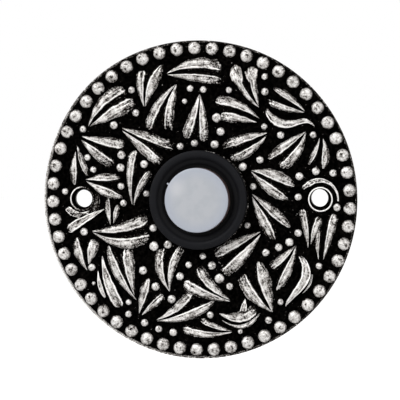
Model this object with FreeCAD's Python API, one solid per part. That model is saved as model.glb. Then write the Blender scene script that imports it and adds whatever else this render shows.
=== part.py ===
import FreeCAD, Part
import math
import os

os.makedirs("parts", exist_ok=True)

V = FreeCAD.Vector

# Axes: +X right, +Z up, the face looks along -Y. The wall is the plane y = 0.

# Cast face plate
plate_r = 39.6
plate_thick = 3.0
plate_edge_draft = 0.7
rim_width = 0.55
rim_rise = 0.5
screw_margin = 9.45
screw_hole_r = 2.2
screw_sink_width = 0.65
screw_sink_depth = 1.5
screw_ring_width = 0.45
screw_ring_rise = 0.35
screw_ring_sides = 16
plate_field_y = -plate_thick
rim_foot_r = plate_r - rim_width
screw_x = plate_r - screw_margin
screw_sink_r = screw_hole_r + screw_sink_width

# Raised ornament
relief_shift_x = -0.2
relief_gap = 0.15
leaf_rise = 0.95
pellet_rise = 0.75
pellet_sides = 6
bead_count = 53
bead_r = 1.5
bead_rise = 1.25
bead_sides = 7
bead_first_angle = 173.84
bead_ring_r = rim_foot_r - relief_gap - bead_r

# The lists of blades and pellets are drawn for a plate of 39.6 mm radius, and grow with it
relief_scale = plate_r / 39.6

# Bezel and barrel
bezel_r = 12.2
bezel_rise = 4.1
bezel_crest_inset = 1.5
bezel_shoulder_inset = 0.4
bezel_shoulder_drop = 1.1
bezel_throat_depth = 1.1
bezel_lip_thick = 0.8
barrel_r = 9.5
barrel_wall = 0.8
barrel_end_y = 14.5
barrel_to_plate_gap = 0.1
bezel_crest_y = plate_field_y - bezel_rise
bezel_throat_y = bezel_crest_y + bezel_throat_depth
lip_back_y = bezel_throat_y + bezel_lip_thick
barrel_bore_r = barrel_r - barrel_wall
plate_bore_r = barrel_r + barrel_to_plate_gap

# Push cap
cap_r = 8.0
cap_proud = 1.7
cap_dome = 0.25
cap_edge = 0.5
cap_skin = 1.5
cap_travel = 1.5
cap_running_gap = 0.1
cap_flange_thick = 1.3
cap_face_y = bezel_crest_y - cap_proud
cap_throat_r = cap_r + cap_running_gap
cap_flange_r = barrel_bore_r - cap_running_gap
cap_flange_back_y = lip_back_y + cap_flange_thick
cap_ceiling_y = cap_face_y + cap_skin

# Retaining clip, in a recess in the back of the plate
clip_thick = 0.5
clip_width = 3.3
clip_tooth_length = 1.4
clip_slot_width = 1.2
clip_tooth_count = 4
clip_recess_gap = 0.5
clip_recess_depth = 1.2
clip_outer_r = barrel_r + clip_width
clip_recess_r = clip_outer_r + clip_recess_gap

# Return spring
spring_share = 0.523
spring_wire = 0.6
spring_turns = 5.5
spring_steps_per_turn = 16
spring_mean_r = barrel_bore_r * spring_share

# Moving contact ring, held on three square pegs of the cap
ring_thick = 0.4
ring_inner_share = 0.645
ring_step = 0.2
ring_bore_gap = 0.5
peg_half = 0.45
peg_hole_gap = 0.05
ring_inner_r = barrel_bore_r * ring_inner_share
ring_outer_r = barrel_bore_r - ring_bore_gap
cap_pocket_r = ring_inner_r - ring_step
peg_ring_r = (ring_inner_r + ring_outer_r) / 2
ring_back_y = cap_flange_back_y + ring_thick

# Fixed contacts
stop_gap = 0.05
tip_r = 0.9
tip_rise = 0.4
tip_sides = 8
strip_thick = 0.6
strip_width = 3.8
strip_wall_gap = 1.0
strip_foot_share = 0.241
strip_tab_share = 0.7
strip_outer_x = barrel_bore_r - strip_wall_gap
strip_foot = barrel_bore_r * strip_foot_share
strip_tab = barrel_bore_r * strip_tab_share
strip_front_y = ring_back_y + cap_travel + stop_gap + tip_rise
tip_x = strip_outer_x - strip_foot / 2

# Terminal base, a plug in the end of the barrel
plug_gap = 0.05
plug_thick = 5.0
post_share = 0.437
post_front_y = 3.0
plug_front_y = barrel_end_y - plug_thick
plug_r = barrel_bore_r - plug_gap
post_r = barrel_bore_r * post_share

# Lamp in its ferrule
lamp_length = 6.1
lamp_nose = 0.9
ferrule_share = 0.264
ferrule_wall = 0.7
ferrule_length = 6.5
ferrule_proud = 1.5
lamp_seat_depth = 1.1
lead_half = 0.25
lead_share = 0.103
lead_washer_gap = 0.2
ferrule_front_y = post_front_y - ferrule_proud
ferrule_back_y = ferrule_front_y + ferrule_length
ferrule_r = barrel_bore_r * ferrule_share
lamp_r = ferrule_r - ferrule_wall
lead_x = barrel_bore_r * lead_share
lamp_back_y = ferrule_front_y + lamp_seat_depth
lamp_front_y = lamp_back_y - lamp_length

# Terminal hardware
terminal_share = 0.54
washer_share = 0.264
washer_thick = 0.5
terminal_screw_r = 1.2
terminal_hole_gap = 0.05
terminal_head_inset = 0.1
terminal_head_thick = 1.5
terminal_slot_width = 0.6
terminal_slot_depth = 0.7
terminal_hole_depth = 4.0
terminal_end_gap = 0.3
terminal_x = barrel_bore_r * terminal_share
washer_half = barrel_bore_r * washer_share
terminal_head_r = washer_half - terminal_head_inset
terminal_hole_r = terminal_screw_r + terminal_hole_gap
tab_back_y = barrel_end_y + strip_thick
washer_back_y = tab_back_y + washer_thick
terminal_hole_y = barrel_end_y - terminal_hole_depth

# Each blade of a leaf: fine tip x, z, broad end x, z, width, sideways bow
BLADES = [
    (-28.3, 18.2, -18.8, 27.5, 2.4, 1.6),
    (-27.9, 18.1, -16.8, 24.8, 2.8, 0.4),
    (-14.1, 23.1, -14.7, 32.0, 1.9, 0.6),
    (-13.8, 23.1, -9.5, 33.6, 2.3, 0.5),
    (-8.3, 31.3, 5.5, 32.9, 2.6, 1.5),
    (-8.2, 31.0, 5.4, 29.6, 2.0, 0.1),
    (-5.8, 28.7, -13.0, 17.4, 2.1, -0.8),
    (-5.7, 28.7, -8.1, 17.2, 2.2, -0.5),
    (0.0, 26.2, -3.6, 15.2, 2.0, 0.2),
    (0.2, 26.0, 1.2, 14.3, 2.0, 0.4),
    (-19.7, 17.7, -6.3, 12.9, 2.1, 0.1),
    (-19.6, 17.0, -9.8, 8.7, 2.3, -0.2),
    (-30.0, 15.6, -19.2, 13.4, 2.2, 0.1),
    (-30.1, 14.7, -22.0, 8.5, 2.2, -0.2),
    (-31.2, 13.2, -28.5, 5.7, 1.3, -0.2),
    (-31.6, 11.8, -31.9, 3.4, 1.7, -0.2),
    (-29.0, 4.8, -20.2, 5.3, 1.8, 0.2),
    (-28.9, 4.4, -19.6, 0.4, 2.0, -0.3),
    (-17.1, -1.4, -16.5, 12.2, 1.9, 0.8),
    (-16.7, -1.6, -12.5, 6.7, 1.3, 0.6),
    (-24.2, -2.6, -33.6, -8.0, 2.3, -0.2),
    (-22.7, -6.5, -23.4, 0.4, 1.3, 0.1),
    (-21.9, -6.1, -20.8, -1.4, 1.2, 0.0),
    (-27.4, -8.1, -13.2, -4.9, 2.6, -1.1),
    (-27.2, -8.4, -12.8, -9.6, 2.5, -2.1),
    (-28.7, -17.9, -31.4, -9.7, 2.0, 0.6),
    (-28.3, -16.4, -26.8, -10.2, 2.5, 0.0),
    (-25.9, -18.0, -24.1, -24.8, 0.9, -0.3),
    (-24.8, -14.3, -20.1, -27.1, 2.2, -0.6),
    (-16.1, -25.2, -23.3, -11.6, 2.4, 0.9),
    (-16.6, -24.0, -18.5, -12.4, 2.6, 0.2),
    (-15.4, -28.6, -12.9, -19.7, 2.1, 0.1),
    (-14.7, -29.0, -9.2, -23.9, 1.7, 0.0),
    (-7.6, -23.0, -9.6, -12.2, 2.1, 1.3),
    (-7.6, -22.9, -4.5, -11.8, 2.1, 0.6),
    (-10.9, -30.1, -2.0, -23.2, 2.0, -0.8),
    (-10.8, -30.4, 3.8, -25.4, 2.0, -1.4),
    (7.6, -24.8, -0.5, -17.0, 1.8, 1.1),
    (7.7, -25.2, -4.0, -20.7, 2.5, 0.6),
    (8.2, -32.7, 0.3, -30.0, 1.2, 0.3),
    (8.2, -32.9, -4.3, -32.2, 1.8, 0.9),
    (4.6, -28.2, 13.9, -27.3, 3.2, -1.6),
    (6.2, -29.8, 15.3, -27.8, 1.1, -2.6),
    (11.4, -23.8, 11.2, -27.0, 0.9, 0.0),
    (18.2, -27.7, 10.7, -18.6, 2.7, 1.0),
    (18.4, -27.8, 14.8, -15.2, 2.8, -0.1),
    (24.0, -11.3, 18.0, -16.8, 1.8, 0.2),
    (24.3, -11.3, 19.4, -22.4, 1.9, 0.6),
    (21.4, -26.2, 25.7, -13.7, 2.3, -2.7),
    (26.3, -23.2, 28.7, -18.0, 0.6, -0.4),
    (27.3, -11.8, 25.8, -2.2, 1.7, -0.3),
    (28.0, -10.8, 30.1, -4.1, 1.7, 0.1),
    (29.9, -14.6, 30.1, -6.9, 1.0, 0.3),
    (31.0, -14.6, 33.7, -3.3, 2.0, -0.1),
    (15.3, -7.9, 4.1, -13.6, 2.2, 0.3),
    (15.4, -8.5, 6.3, -18.0, 2.7, 0.1),
    (13.3, 1.4, 22.8, -6.8, 2.0, 0.0),
    (13.2, 0.9, 19.0, -9.6, 2.3, -0.1),
    (13.1, 7.3, 24.0, 3.5, 2.4, 0.5),
    (13.0, 7.0, 22.3, 0.1, 2.1, -0.3),
    (15.0, 20.2, 4.0, 24.7, 2.0, -0.9),
    (14.4, 19.1, 4.2, 21.0, 2.1, 0.0),
    (27.4, 19.8, 16.7, 22.0, 2.0, 1.8),
    (28.9, 18.2, 25.3, 20.2, 1.1, -0.2),
    (26.4, 22.0, 18.5, 27.6, 1.5, -0.5),
    (26.3, 21.7, 16.9, 24.6, 1.5, 0.3),
    (15.0, 22.9, 8.5, 33.3, 2.5, 1.4),
    (14.8, 23.4, 12.8, 32.9, 2.7, 0.0),
    (17.0, 16.6, 5.8, 13.1, 1.9, 0.1),
    (17.0, 16.0, 7.9, 10.1, 1.9, 0.5),
    (26.6, 16.9, 17.2, 10.1, 1.6, 0.1),
    (26.7, 16.8, 20.5, 8.0, 2.3, 0.9),
    (30.1, 15.4, 27.3, 8.8, 1.2, 0.4),
    (31.0, 15.2, 31.0, 7.8, 1.7, 0.6),
]

# Curved leaves about the screw holes: side, radius, first angle, last angle, width
HOLE_LEAVES = [
    (1.0, 4.55, -12.0, 146.0, 1.2),
    (-1.0, 4.0, 345.0, 212.0, 1.1),
]

# Small pellets: x, z, radius
PELLETS = [
    (-29.7, 17.4, 0.8), (-21.8, 18.4, 0.95), (-17.3, 27.2, 0.8), (-16.2, 21.5, 0.85),
    (-19.9, 11.0, 1.0), (-28.6, 10.3, 0.8), (-27.1, 7.3, 0.8), (-20.1, 7.8, 1.0),
    (-20.0, 3.2, 0.85), (-14.1, 8.7, 0.95), (-13.5, 1.4, 0.8), (-34.3, 1.8, 0.8),
    (-2.4, 27.6, 0.8), (-3.8, 24.4, 0.65), (-4.9, 13.2, 0.85), (-1.3, 14.0, 0.85),
    (0.9, 27.3, 0.8), (7.4, 27.2, 0.75), (16.4, 30.5, 0.8), (16.4, 26.8, 0.9),
    (4.8, 20.1, 1.15), (5.3, 16.9, 1.0), (16.3, 18.2, 0.75), (3.8, 13.7, 1.0),
    (20.4, 16.1, 0.9), (28.5, 16.2, 0.8), (15.2, 10.0, 0.9), (10.9, 8.2, 1.0),
    (29.2, 7.2, 0.95), (33.5, 6.8, 0.9), (25.1, 5.9, 0.95), (13.5, 3.3, 0.8),
    (24.8, 0.8, 0.85), (-19.4, -1.0, 0.8), (-29.5, -8.3, 0.95), (-11.8, -7.2, 0.9),
    (-11.6, -11.7, 1.15), (-8.1, -11.3, 0.95), (-27.5, -17.2, 0.9), (-27.0, -21.2, 0.45),
    (-14.4, -17.8, 1.0), (-2.8, -16.3, 0.8), (-5.0, -19.2, 0.95), (-11.2, -21.8, 1.0),
    (-18.1, -25.8, 0.7), (-18.1, -28.8, 0.8), (-7.1, -24.9, 1.0), (-14.0, -30.9, 0.9),
    (-10.4, -32.4, 0.85), (-6.7, -33.2, 0.95), (12.1, -6.3, 0.75), (34.5, -1.7, 0.9),
    (24.8, -8.1, 0.9), (22.6, -10.4, 1.0), (19.9, -11.7, 0.9), (16.7, -13.0, 0.9),
    (3.1, -16.4, 1.0), (0.8, -14.1, 0.8), (5.0, -19.6, 1.15), (7.6, -21.5, 0.85),
    (30.0, -16.2, 0.8), (20.4, -25.2, 0.75), (17.4, -29.8, 0.85), (2.7, -28.7, 0.85),
    (10.3, -32.7, 0.6),
]

# How a blade grows along its length: place, share of the width, share of the rise
BLADE_STATIONS = [
    (0.0, 0.08, 0.3),
    (0.3, 0.64, 0.8),
    (0.6, 1.1, 1.0),
    (0.86, 1.04, 0.85),
    (1.0, 0.5, 0.35),
]


def turned(points):
    """Solid of revolution about the push axis from (radius, y) points."""
    wire = Part.makePolygon([V(r, y, 0) for r, y in points + points[:1]])
    return Part.Face(wire).revolve(V(0, 0, 0), V(0, 1, 0), 360)


def rod(r, x, z, y0, y1):
    """Round bar along y at x, z."""
    return Part.makeCylinder(r, y1 - y0, V(x, y0, z), V(0, 1, 0))


def block(x0, x1, y0, y1, z0, z1):
    """Box from its six limits."""
    return Part.makeBox(x1 - x0, y1 - y0, z1 - z0, V(x0, y0, z0))


def octagon(r, y):
    """Flat eight-sided face square to the push axis."""
    corners = []
    for k in range(9):
        a = math.radians(22.5 + 45 * k)
        corners.append(V(r * math.cos(a), y, r * math.sin(a)))
    return Part.Face(Part.makePolygon(corners))


def closed_solid(faces):
    """Solid from faces that meet edge to edge, turned right way out."""
    solid = Part.makeSolid(Part.makeShell(faces))
    if solid.Volume < 0:
        solid.reverse()
    return solid


def dome(x, z, sides, rings):
    """Faceted dome from (radius, y) rings, the first one the base."""
    loops = []
    for radius, y in rings:
        loop = []
        for k in range(sides):
            a = 2 * math.pi * (k + 0.5) / sides
            loop.append(V(x + radius * math.cos(a), y, z + radius * math.sin(a)))
        loops.append(loop)
    faces = [Part.Face(Part.makePolygon(loop + loop[:1])) for loop in (loops[0], loops[-1])]
    for low, high in zip(loops, loops[1:]):
        for k in range(sides):
            n = (k + 1) % sides
            faces.append(Part.Face(Part.makePolygon([low[k], low[n], high[n], high[k], low[k]])))
    return closed_solid(faces)


def lofted(loops):
    """Solid through matching loops of points, closed at both ends."""
    faces = [Part.Face(Part.makePolygon(loop + loop[:1])) for loop in (loops[0], loops[-1])]
    for a, b in zip(loops, loops[1:]):
        for k in range(len(a)):
            n = (k + 1) % len(a)
            faces.append(Part.Face(Part.makePolygon([a[k], a[n], b[n], a[k]])))
            faces.append(Part.Face(Part.makePolygon([a[k], b[n], b[k], a[k]])))
    return closed_solid(faces)


def ridge(centres, widths, rises):
    """Ridge along a line of (x, z, nx, nz) centres: two sloped sides and a crest."""
    loops = []
    for (x, z, nx, nz), w, rise in zip(centres, widths, rises):
        half = w / 2
        loops.append([
            V(x + nx * half, plate_field_y, z + nz * half),
            V(x, plate_field_y - rise, z),
            V(x - nx * half, plate_field_y, z - nz * half),
        ])
    return lofted(loops)


def blade(tip_x, tip_z, end_x, end_z, width, bow):
    """One leaf blade from its fine tip to its broad end."""
    length = math.hypot(end_x - tip_x, end_z - tip_z)
    ux = (end_x - tip_x) / length
    uz = (end_z - tip_z) / length
    centres = []
    for t, share, rise in BLADE_STATIONS:
        side = 4 * bow * t * (1 - t)
        x = tip_x + ux * length * t - uz * side + relief_shift_x
        z = tip_z + uz * length * t + ux * side
        centres.append((x, z, -uz, ux))
    widths = [width * s[1] for s in BLADE_STATIONS]
    tallest = min(leaf_rise, 0.35 + 0.35 * width)
    rises = [tallest * s[2] for s in BLADE_STATIONS]
    return ridge(centres, widths, rises)


def hole_leaf(side, radius, first, last, width):
    """Curved leaf that wraps round one screw hole, fine end first."""
    centres = []
    widths = []
    rises = []
    steps = 8
    for k in range(steps + 1):
        t = k / steps
        a = math.radians(first + (last - first) * t)
        x = side * screw_x + radius * math.cos(a)
        centres.append((x, radius * math.sin(a), math.cos(a), math.sin(a)))
        widths.append(width * (0.3 + 0.7 * math.sin(math.pi * min(1.0, 0.1 + 0.75 * t))))
        rises.append(leaf_rise * 0.6)
    return ridge(centres, widths, rises)


def make_plate():
    """Casting with rim, screw holes and every raised ornament in one piece."""
    body = turned([
        (plate_bore_r, plate_field_y),
        (rim_foot_r, plate_field_y),
        (plate_r, plate_field_y - rim_rise),
        (plate_r - plate_edge_draft, 0),
        (clip_recess_r, 0),
        (clip_recess_r, -clip_recess_depth),
        (plate_bore_r, -clip_recess_depth),
    ])
    adds = []
    cuts = []
    for side in (-1, 1):
        x = side * screw_x
        ring_top = plate_field_y - screw_ring_rise
        outer = screw_sink_r + screw_ring_width
        adds.append(dome(x, 0, screw_ring_sides, [(outer, plate_field_y), (screw_sink_r + 0.2, ring_top)]))
        cuts.append(rod(screw_hole_r, x, 0, ring_top - 1, 1))
        sink_depth = screw_sink_depth + screw_ring_rise
        cuts.append(Part.makeCone(screw_sink_r, screw_hole_r, sink_depth, V(x, ring_top, 0), V(0, 1, 0)))
    adds += [blade(*[size * relief_scale for size in row]) for row in BLADES]
    adds += [hole_leaf(*h) for h in HOLE_LEAVES]
    for row in PELLETS:
        x, z, r = [size * relief_scale for size in row]
        rings = [(r * 1.05, plate_field_y), (r * 0.6, plate_field_y - pellet_rise)]
        adds.append(dome(x + relief_shift_x, z, pellet_sides, rings))
    for k in range(bead_count):
        a = math.radians(bead_first_angle - 360.0 * k / bead_count)
        rings = [(bead_r, plate_field_y), (bead_r * 0.88, plate_field_y - bead_rise * 0.62),
                 (bead_r * 0.45, plate_field_y - bead_rise)]
        adds.append(dome(bead_ring_r * math.cos(a), bead_ring_r * math.sin(a), bead_sides, rings))
    bezel_room = rod(bezel_r + relief_gap, 0, 0, plate_field_y - bezel_rise, plate_field_y + 1)
    body = body.multiFuse([add.cut(bezel_room) for add in adds])
    for cut in cuts:
        body = body.cut(cut)
    return body


def make_bezel():
    """Black moulded ring and barrel that carries the push unit."""
    return turned([
        (barrel_bore_r, lip_back_y),
        (cap_throat_r, lip_back_y),
        (cap_throat_r, bezel_throat_y),
        (bezel_r - bezel_crest_inset, bezel_crest_y),
        (bezel_r - bezel_shoulder_inset, bezel_crest_y + bezel_shoulder_drop),
        (bezel_r, plate_field_y),
        (barrel_r, plate_field_y),
        (barrel_r, barrel_end_y),
        (barrel_bore_r, barrel_end_y),
    ])


def make_clip():
    """Eight-sided push-on spring clip whose teeth grip the barrel behind the plate."""
    y0 = -clip_recess_depth
    body = octagon(clip_outer_r, y0).extrude(V(0, clip_thick, 0)).cut(rod(barrel_r, 0, 0, y0, y0 + clip_thick))
    half = clip_slot_width / 2
    slot = block(0, barrel_r + clip_tooth_length, y0, y0 + clip_thick, -half, half)
    for k in range(clip_tooth_count):
        body = body.cut(slot.rotated(V(0, 0, 0), V(0, 1, 0), 360.0 * k / clip_tooth_count))
    return body


def pegs(half, y0, y1):
    """Three square pegs in a ring, clear of the two contact tips."""
    peg = block(-half, half, y0, y1, peg_ring_r - half, peg_ring_r + half)
    return [peg.rotated(V(0, 0, 0), V(0, 1, 0), turn) for turn in (0, 120, 240)]


def make_cap():
    """Push cap with its skirt, stop flange and three pegs for the contact ring."""
    body = turned([
        (0, cap_face_y),
        (cap_r - cap_edge, cap_face_y),
        (cap_r, cap_face_y + cap_dome),
        (cap_r, lip_back_y),
        (cap_flange_r, lip_back_y),
        (cap_flange_r, cap_flange_back_y),
        (cap_pocket_r, cap_flange_back_y),
        (cap_pocket_r, cap_ceiling_y),
        (0, cap_ceiling_y),
    ])
    return body.fuse(pegs(peg_half, cap_flange_back_y, ring_back_y)).removeSplitter()


def make_contact_ring():
    """Eight-sided brass ring that bridges the two contacts."""
    y0 = cap_flange_back_y
    body = octagon(ring_outer_r, y0).cut(octagon(ring_inner_r, y0)).extrude(V(0, ring_thick, 0))
    return body.cut(pegs(peg_half + peg_hole_gap, y0, ring_back_y))


def make_spring():
    """Open coil of square wire between the cap and the base."""
    h = spring_wire / 2
    y0 = cap_ceiling_y + h
    y1 = plug_front_y - h
    steps = int(spring_turns * spring_steps_per_turn)
    loops = []
    for k in range(steps + 1):
        a = 2 * math.pi * k / spring_steps_per_turn
        y = y0 + (y1 - y0) * k / steps
        loop = []
        for out, along in ((-h, -h), (h, -h), (h, h), (-h, h)):
            r = spring_mean_r + out
            loop.append(V(r * math.cos(a), y + along, r * math.sin(a)))
        loops.append(loop)
    return lofted(loops)


def make_strip(side):
    """Bent brass strip from the contact tip through the base to the terminal."""
    w = strip_width / 2
    x1 = strip_outer_x
    foot = block(x1 - strip_foot, x1, strip_front_y, strip_front_y + strip_thick, -w, w)
    leg = block(x1 - strip_thick, x1, strip_front_y, tab_back_y, -w, w)
    tab = block(x1 - strip_tab, x1, barrel_end_y, tab_back_y, -w, w)
    body = foot.fuse([leg, tab]).removeSplitter()
    body = body.cut(rod(terminal_hole_r, terminal_x, 0, barrel_end_y, tab_back_y))
    return body if side > 0 else body.mirror(V(0, 0, 0), V(1, 0, 0))


def make_tip(side):
    """Riveted contact tip on the front of a strip."""
    rings = [(tip_r, strip_front_y), (tip_r * 0.6, strip_front_y - tip_rise)]
    return dome(side * tip_x, 0, tip_sides, rings)


def make_base():
    """Insulating plug that closes the barrel, with the lamp post and terminal holes."""
    back_y = barrel_end_y
    body = turned([
        (0, back_y),
        (0, ferrule_back_y),
        (ferrule_r, ferrule_back_y),
        (ferrule_r, post_front_y),
        (post_r, post_front_y),
        (post_r, plug_front_y),
        (plug_r, plug_front_y),
        (plug_r, back_y),
    ])
    w = strip_width / 2
    h = lead_half
    for side in (-1, 1):
        x0 = min(side * (strip_outer_x - strip_thick), side * strip_outer_x)
        body = body.cut(block(x0, x0 + strip_thick, plug_front_y, back_y, -w, w))
        body = body.cut(rod(terminal_hole_r, side * terminal_x, 0, terminal_hole_y, back_y))
        x = side * lead_x
        body = body.cut(block(x - h, x + h, ferrule_back_y, back_y, -h, h))
    return body


def make_washer(side):
    """Square wire washer under a terminal screw head."""
    x = side * terminal_x
    h = washer_half
    body = block(x - h, x + h, tab_back_y, washer_back_y, -h, h)
    return body.cut(rod(terminal_hole_r, x, 0, tab_back_y, washer_back_y))


def make_screw(side):
    """Slotted terminal screw with a six-sided head."""
    head_y = washer_back_y + terminal_head_thick
    x = side * terminal_x
    r = terminal_head_r
    head = dome(x, 0, 6, [(r, washer_back_y), (r, head_y)])
    w = terminal_slot_width / 2
    slot = block(x - r, x + r, head_y - terminal_slot_depth, head_y, -w, w)
    shank = rod(terminal_screw_r, x, 0, terminal_hole_y + terminal_end_gap, washer_back_y)
    return head.cut(slot).fuse(shank)


def make_lamp():
    """Tubular glass lamp with a tapered nose."""
    return turned([
        (0, lamp_front_y),
        (lamp_r * 0.6, lamp_front_y),
        (lamp_r, lamp_front_y + lamp_nose),
        (lamp_r, lamp_back_y),
        (0, lamp_back_y),
    ])


def make_ferrule():
    """Brass cup that holds the lamp in the base post."""
    return turned([
        (lamp_r, ferrule_front_y),
        (ferrule_r, ferrule_front_y),
        (ferrule_r, ferrule_back_y),
        (0, ferrule_back_y),
        (0, lamp_back_y),
        (lamp_r, lamp_back_y),
    ])


def make_lead(side):
    """Flat lamp lead, through the base and bent over on to its terminal strip."""
    h = lead_half
    end_x = terminal_x - washer_half - lead_washer_gap
    straight = block(lead_x - h, lead_x + h, ferrule_back_y, tab_back_y + 2 * h, -h, h)
    reach = block(lead_x - h, end_x, tab_back_y, tab_back_y + 2 * h, -h, h)
    lead = straight.fuse(reach).removeSplitter()
    return lead if side > 0 else lead.mirror(V(0, 0, 0), V(1, 0, 0))


NODES = {
    "face_plate": make_plate,
    "bezel": make_bezel,
    "retaining_clip": make_clip,
    "cap": make_cap,
    "contact_ring": make_contact_ring,
    "return_spring": make_spring,
    "terminal_base": make_base,
    "lamp": make_lamp,
    "lamp_ferrule": make_ferrule,
}

PAIRED_NODES = {
    "contact_strip": make_strip,
    "contact_tip": make_tip,
    "terminal_washer": make_washer,
    "terminal_screw": make_screw,
    "lamp_lead": make_lead,
}

for name, make in NODES.items():
    make().exportStep("parts/" + name + ".step")

for name, make in PAIRED_NODES.items():
    make(-1).exportStep("parts/" + name + "_left.step")
    make(1).exportStep("parts/" + name + "_right.step")
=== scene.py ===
import math

import bmesh
import bpy
from mathutils import Matrix, Vector, noise


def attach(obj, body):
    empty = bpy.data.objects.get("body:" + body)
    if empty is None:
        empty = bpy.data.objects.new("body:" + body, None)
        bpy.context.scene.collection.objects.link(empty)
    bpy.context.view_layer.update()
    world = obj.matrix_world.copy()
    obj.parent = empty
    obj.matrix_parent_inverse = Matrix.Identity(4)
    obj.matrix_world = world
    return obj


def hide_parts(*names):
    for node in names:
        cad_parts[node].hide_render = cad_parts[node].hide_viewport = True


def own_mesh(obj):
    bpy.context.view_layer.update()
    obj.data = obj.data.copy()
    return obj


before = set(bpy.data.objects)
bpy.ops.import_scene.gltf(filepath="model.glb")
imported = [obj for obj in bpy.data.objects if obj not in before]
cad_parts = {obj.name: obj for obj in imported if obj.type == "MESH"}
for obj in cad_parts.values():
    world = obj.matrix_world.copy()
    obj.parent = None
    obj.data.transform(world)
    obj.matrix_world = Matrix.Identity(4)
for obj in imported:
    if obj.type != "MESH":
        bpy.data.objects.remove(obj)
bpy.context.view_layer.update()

# Sizes are in millimetres and angles in degrees, until a piece is finished.
# x runs to the right, z up and y into the wall, which stands at y = 0.
MM = 0.001
PUSH_CENTRE = (0, 0, 0)
PUSH_AXIS = (0, 1, 0)
merge_distance = 1e-4

# Plate and screw holes
field_y = -3.0
plate_r = 39.6
lip_foot_r = 39.05
plate_back_r = 38.9
plate_bore_r = 9.6
clip_recess_r = 13.3
clip_recess_y = -1.2
screw_x = 30.15
screw_hole_r = 2.2
sink_r = 2.85
sink_back_y = -1.5
collar_y = -3.35

# The right hole's ring and bore stand a little off their even places
right_ring_z = 0.26
bore_stray_x = -0.52
bore_stray_z = 0.3

# Relief of the plate
bead_count = 53
bead_ring_r = 37.4
bead_r = 1.5
bead_swell = 1.09
bead_rise = 1.25
bead_first_angle = 173.84
pellet_swell = 1.08
pellet_rise = 0.75
leaf_rise = 0.95
hole_leaf_rise = 0.5
relief_shift_x = -0.2

# Bezel and barrel
bezel_lip_r = 12.3
bezel_foot_r = 11.8
bezel_crest_y = -7.1
throat_r = 8.1
throat_y = -6.0
lip_back_y = -5.2
barrel_r = 9.5
barrel_bore_r = 8.7
barrel_end_y = 14.5

# Push cap
cap_r = 8.0
cap_face_y = -8.8
cap_flange_r = 8.6
cap_flange_back_y = -3.9
cap_pocket_r = 5.41
cap_ceiling_y = -7.3
peg_half = 0.45
peg_length = 0.5
peg_back_y = -3.5
peg_ring_r = 6.91
nib_angle = 150.6
nib_ring_r = 8.15

# Return spring
spring_front_y = -7.3
spring_back_y = 9.5
spring_mean_r = 4.55
spring_wire_r = 0.3
spring_turns = 5.5
spring_steps_per_turn = 40

# Spring clip and terminals
clip_outer_r = 12.8
clip_notch_end_r = 10.9
clip_notch_half = 0.6
clip_back_y = -0.7
terminal_x = 4.698
tab_back_y = 15.1
washer_half = 2.297
washer_back_y = 15.6
head_r = 2.197
head_y = 17.1
head_slot_depth = 0.7
head_slot_half = 0.3
screw_r = 1.2
screw_end_y = 10.8

# Camera, as the pearl border fixed it
camera_turn = 11.0
camera_rise = 2.2
camera_distance = 750.0
camera_lens = 271.8
camera_aim_y = -3.6
camera_aim_right = -0.03
camera_aim_up = -0.1

# Lamps: name, place in metres, width in metres, power in watts
LAMPS = [
    ("key", (-0.45, -0.55, 0.5), 0.45, 5.0),
    ("fill", (0.5, -0.7, 0.1), 0.5, 1.6),
    ("back", (0.35, 0.6, 0.5), 0.3, 3.0),
]
world_light = 0.42
floor_z = -0.12
floor_glow = 0.72

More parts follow.
